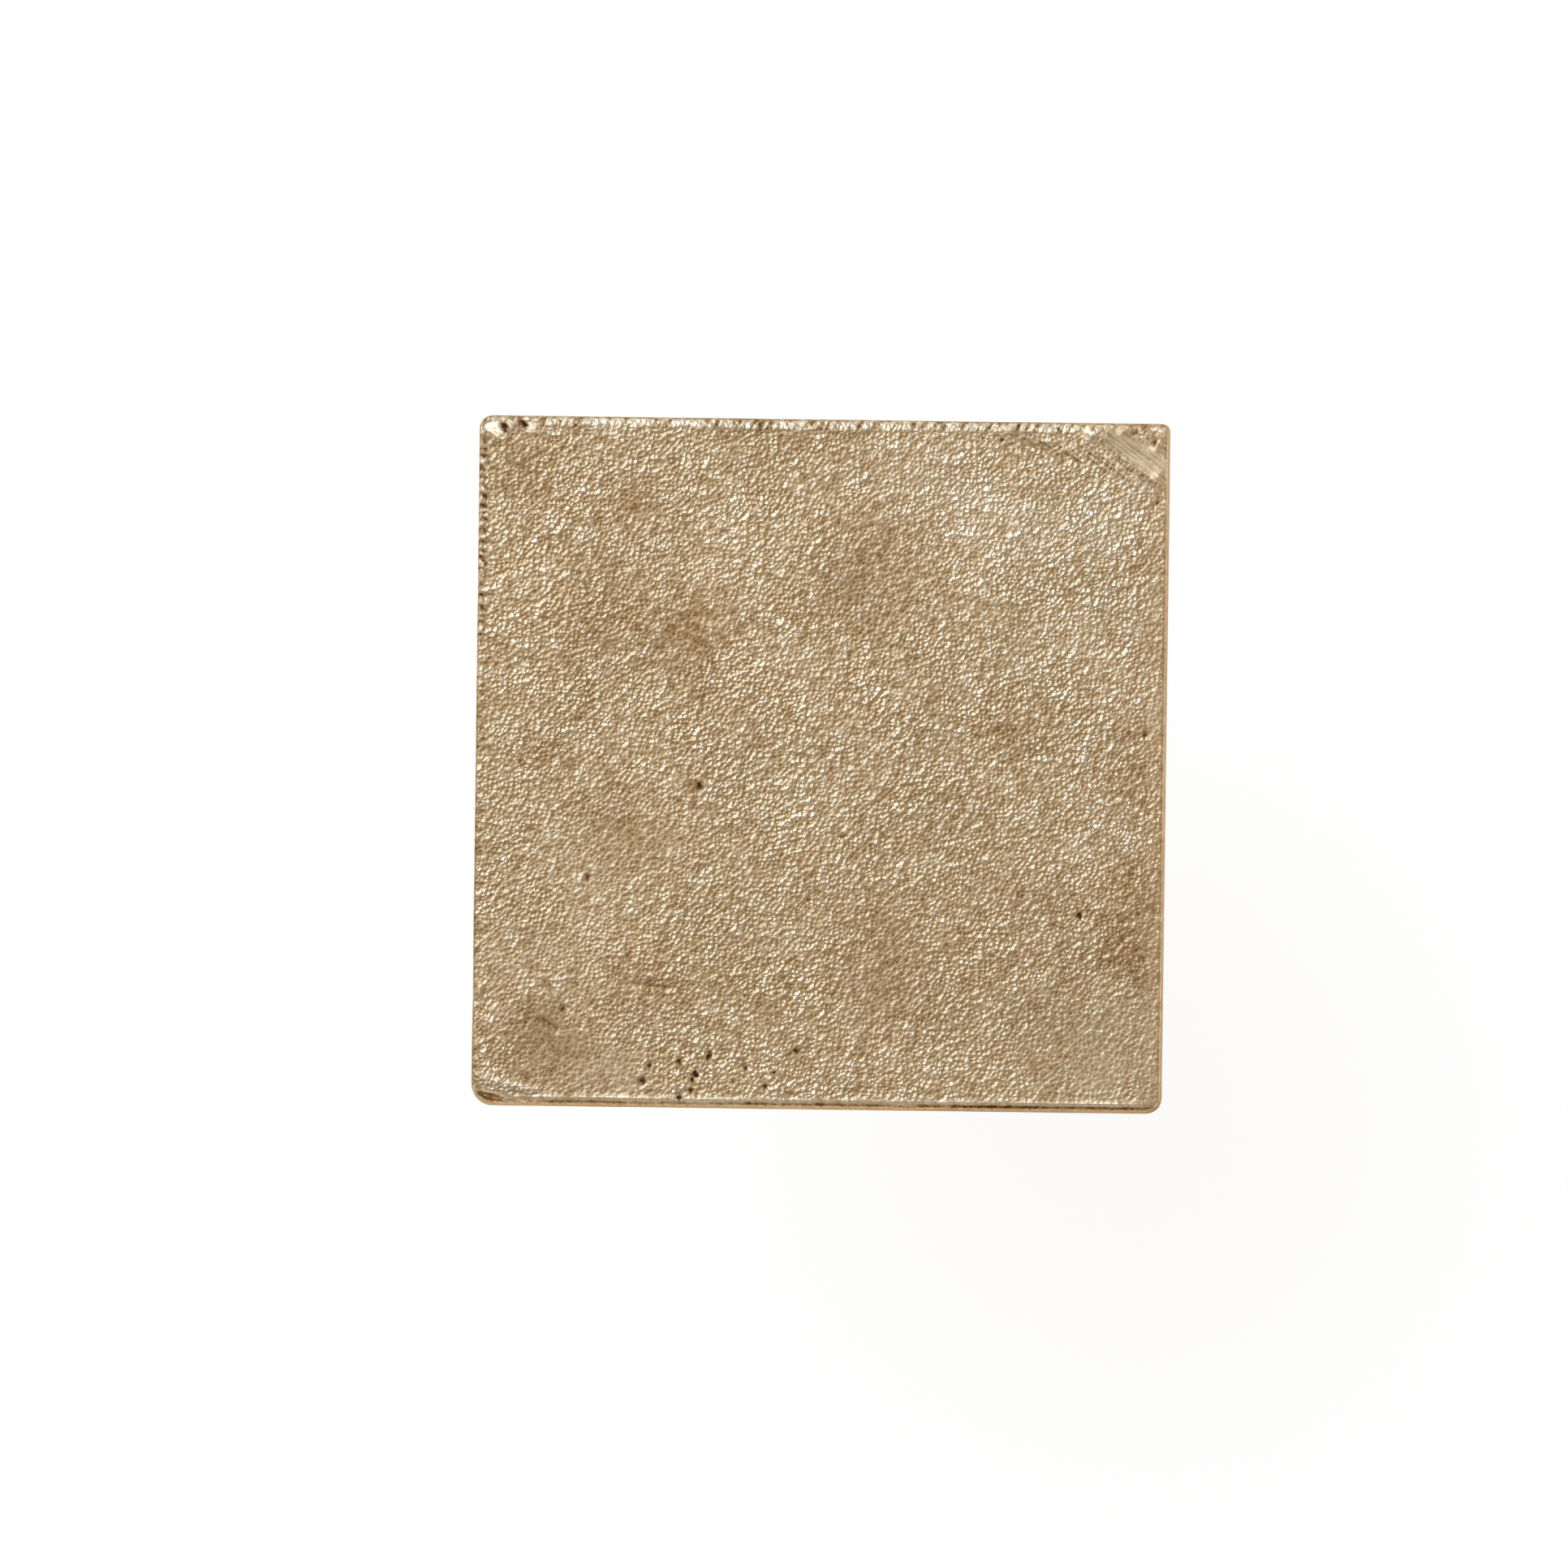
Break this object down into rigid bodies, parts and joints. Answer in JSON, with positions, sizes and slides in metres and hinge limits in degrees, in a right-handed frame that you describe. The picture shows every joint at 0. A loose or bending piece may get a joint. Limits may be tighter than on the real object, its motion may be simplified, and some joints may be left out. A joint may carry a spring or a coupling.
{
  "type": "square cabinet knob",
  "caption": "Square cabinet knob: a rough sand-cast brass plate on a turned brass post, with a screw and washers that fix it through a door or drawer front.",
  "frame": {"origin": "middle of the foot's face, where the knob sits on the door or drawer front", "axes": "+Z out of the panel to the front of the knob, +Y up the door, +X to the right of someone facing the door; the screw comes from -Z"},
  "size_m": [0.032, 0.032, 0.0478],
  "materials": {
    "cast_brass": "sand-cast grain, lightly brushed over, unlacquered",
    "turned_brass": "fine turned rings",
    "black_steel": "black oxide",
    "ring_rubber": "matt",
    "pin_steel": "ground",
    "zinc_steel": "bright zinc plate",
    "spring_steel": "zinc plate over rolled spring wire"
  },
  "bodies": {
    "knob": {"knob_head": "cast_brass", "stem": "turned_brass", "joining_stud": "black_steel", "base_ring": "ring_rubber", "anti_turn_pin": "pin_steel"},
    "washers": {"flat_washer": "zinc_steel", "spring_washer": "spring_steel"},
    "screw": {"mount_screw": "zinc_steel"}
  },
  "joints": [
    {"name": "screw_travel", "type": "slide", "parent": "knob", "child": "washers", "axis": [0, 0, 1], "range_m": [-0.0049, 0.0056]},
    {"name": "screw_turn", "type": "hinge", "parent": "washers", "child": "screw", "pos_m": [0, 0, -0.0197], "axis": [0, 0, 1], "range_deg": [-2520, 2880]}
  ],
  "couplings": [
    {"joint": "screw_turn", "follows": "screw_travel", "rad_per_m": 8976}
  ]
}
